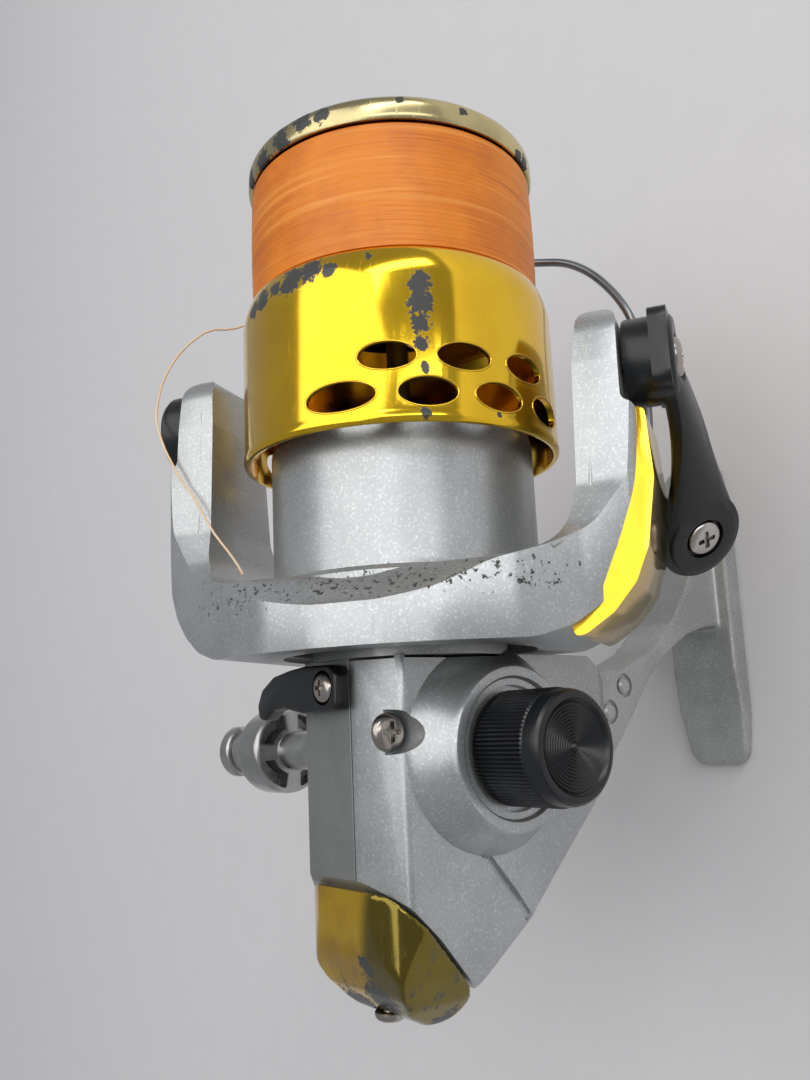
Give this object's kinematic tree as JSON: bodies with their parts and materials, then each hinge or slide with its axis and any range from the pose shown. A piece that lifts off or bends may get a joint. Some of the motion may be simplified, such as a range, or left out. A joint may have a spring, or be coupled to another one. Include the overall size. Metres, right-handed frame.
{
  "type": "spinning reel",
  "caption": "Spinning fishing reel on a stem and foot, with a folding bail, a vented skirted line spool, a crank on one side and a knurled cap on the other.",
  "frame": {"origin": "centre of the flat seat face of the foot", "axes": "+X forward along the spool axis, +Z from the foot toward the spool axis and belly, +Y toward the crank"},
  "size_m": [0.1381, 0.1391, 0.1087],
  "materials": {
    "ar_lever": "black moulded plastic",
    "ar_lever_screw": "plated steel screw",
    "ar_pawl": "plain steel",
    "ar_ratchet": "plain steel",
    "arm_cover": "mirror gold plating, worn",
    "bail_arm": "black moulded plastic",
    "bail_holder": "black moulded plastic",
    "bail_pivot_screw": "plated steel screw",
    "bail_spring": "plain steel",
    "bail_spring_rod": "plain steel",
    "bail_wire": "dark steel",
    "bearing_retainer": "cast zinc, grey",
    "body_housing": "fine metallic silver paint over black moulded plastic",
    "cover_screw_low": "plated steel screw",
    "cover_screw_top": "plated steel screw",
    "drag_ear_washer": "plain steel",
    "drag_felt_a": "oiled felt",
    "drag_felt_b": "oiled felt",
    "drag_felt_c": "oiled felt",
    "drag_key_washer": "plain steel",
    "drag_knob": "black moulded plastic",
    "drag_nut": "gear bronze",
    "drag_pressure_plate": "plain steel",
    "drag_retainer": "plain steel",
    "drag_spring": "plain steel",
    "drive_bearing_left": "plain steel",
    "drive_bearing_right": "plain steel",
    "drive_gear": "gear bronze",
    "handle_arm": "cast zinc, grey",
    "handle_arm_screw": "plated steel screw",
    "handle_cap": "black moulded plastic",
    "handle_hub": "cast zinc, grey",
    "handle_knob": "black moulded plastic",
    "handle_rod": "plain steel",
    "holder_pivot_screw": "plated steel screw",
    "knob_end_plug": "dark steel",
    "knob_spindle": "plain steel",
    "line_roller": "plain steel",
    "line_tail": "pale nylon line",
    "line_winding": "wound orange nylon line",
    "main_shaft": "plain steel",
    "oscillation_axle": "plain steel",
    "oscillation_gear": "gear bronze",
    "oscillation_pinion": "gear bronze",
    "pinion": "gear bronze",
    "pinion_bearing": "plain steel",
    "roller_screw": "plated steel screw",
    "rotor": "fine metallic silver paint over black moulded plastic",
    "rotor_nut": "gear bronze",
    "side_cover": "fine metallic silver paint over black moulded plastic",
    "slider_block": "cast zinc, grey",
    "spool": "gold anodised, polished, worn at the skirt",
    "spool_lip": "pale gold, worn",
    "spool_shim": "plain steel",
    "tail_cap": "mirror gold plating, worn",
    "tail_screw": "plated steel screw",
    "wire_end_cap": "dark steel"
  },
  "bodies": {
    "housing": {"body_housing": "body_housing", "side_cover": "side_cover", "tail_cap": "tail_cap", "tail_screw": "tail_screw", "cover_screw_top": "cover_screw_top", "cover_screw_low": "cover_screw_low", "ar_lever_screw": "ar_lever_screw", "drive_bearing_left": "drive_bearing_left", "drive_bearing_right": "drive_bearing_right", "pinion_bearing": "pinion_bearing", "bearing_retainer": "bearing_retainer", "oscillation_axle": "oscillation_axle"},
    "lever": {"ar_lever": "ar_lever"},
    "pawl": {"ar_pawl": "ar_pawl"},
    "crank": {"drive_gear": "drive_gear", "handle_rod": "handle_rod", "handle_hub": "handle_hub", "handle_arm": "handle_arm", "handle_arm_screw": "handle_arm_screw", "handle_cap": "handle_cap", "oscillation_pinion": "oscillation_pinion", "knob_spindle": "knob_spindle"},
    "grip": {"handle_knob": "handle_knob", "knob_end_plug": "knob_end_plug"},
    "osc_wheel": {"oscillation_gear": "oscillation_gear"},
    "rotor": {"rotor": "rotor", "pinion": "pinion", "rotor_nut": "rotor_nut", "arm_cover": "arm_cover", "ar_ratchet": "ar_ratchet", "bail_spring": "bail_spring", "bail_spring_rod": "bail_spring_rod", "line_tail": "line_tail"},
    "bail": {"bail_arm": "bail_arm", "bail_holder": "bail_holder", "bail_wire": "bail_wire", "bail_pivot_screw": "bail_pivot_screw", "holder_pivot_screw": "holder_pivot_screw", "roller_screw": "roller_screw", "wire_end_cap": "wire_end_cap"},
    "roller": {"line_roller": "line_roller"},
    "shaft": {"main_shaft": "main_shaft", "slider_block": "slider_block", "spool_shim": "spool_shim", "drag_key_washer": "drag_key_washer", "drag_pressure_plate": "drag_pressure_plate"},
    "spool": {"spool": "spool", "spool_lip": "spool_lip", "line_winding": "line_winding", "drag_felt_a": "drag_felt_a", "drag_felt_b": "drag_felt_b", "drag_felt_c": "drag_felt_c", "drag_ear_washer": "drag_ear_washer", "drag_retainer": "drag_retainer"},
    "drag": {"drag_knob": "drag_knob", "drag_nut": "drag_nut", "drag_spring": "drag_spring"}
  },
  "joints": [
    {"name": "lever_turn", "type": "hinge", "parent": "housing", "child": "lever", "pos_m": [-0.0144, -0.0006, 0.0957], "axis": [0, 0, 1], "range_deg": [0, 25]},
    {"name": "pawl_lift", "type": "hinge", "parent": "housing", "child": "pawl", "pos_m": [-0.0032, -0.0016, 0.0922], "axis": [1, 0, 0], "range_deg": [0, 5]},
    {"name": "crank_turn", "type": "hinge", "parent": "housing", "child": "crank", "pos_m": [-0.024, 0, 0.0752], "axis": [0, 1, 0], "continuous": true},
    {"name": "grip_spin", "type": "hinge", "parent": "crank", "child": "grip", "pos_m": [-0.024, 0.07, 0.0232], "axis": [0, 1, 0], "continuous": true},
    {"name": "osc_wheel_turn", "type": "hinge", "parent": "housing", "child": "osc_wheel", "pos_m": [-0.0366, 0.006, 0.0704], "axis": [0, 1, 0], "continuous": true},
    {"name": "rotor_spin", "type": "hinge", "parent": "housing", "child": "rotor", "pos_m": [0, 0, 0.08], "axis": [1, 0, 0], "continuous": true},
    {"name": "bail_swing", "type": "hinge", "parent": "rotor", "child": "bail", "pos_m": [0.0314, -0.03336, 0.0598], "axis": [0, -0.8554, -0.518], "range_deg": [0, 88]},
    {"name": "roller_spin", "type": "hinge", "parent": "bail", "child": "roller", "pos_m": [0.0068, -0.02926, 0.04241], "axis": [-0.584, -0.7883, 0.1936], "continuous": true},
    {"name": "shaft_slide", "type": "slide", "parent": "housing", "child": "shaft", "axis": [1, 0, 0], "range_m": [-0.017, 0]},
    {"name": "spool_spin", "type": "hinge", "parent": "shaft", "child": "spool", "pos_m": [0.05, 0, 0.08], "axis": [1, 0, 0], "continuous": true},
    {"name": "drag_turn", "type": "hinge", "parent": "shaft", "child": "drag", "pos_m": [0.07, 0, 0.08], "axis": [1, 0, 0], "range_deg": [-360, 360]}
  ],
  "couplings": [
    {"joint": "rotor_spin", "follows": "crank_turn", "ratio": 5.1667},
    {"joint": "osc_wheel_turn", "follows": "crank_turn", "ratio": -1}
  ]
}
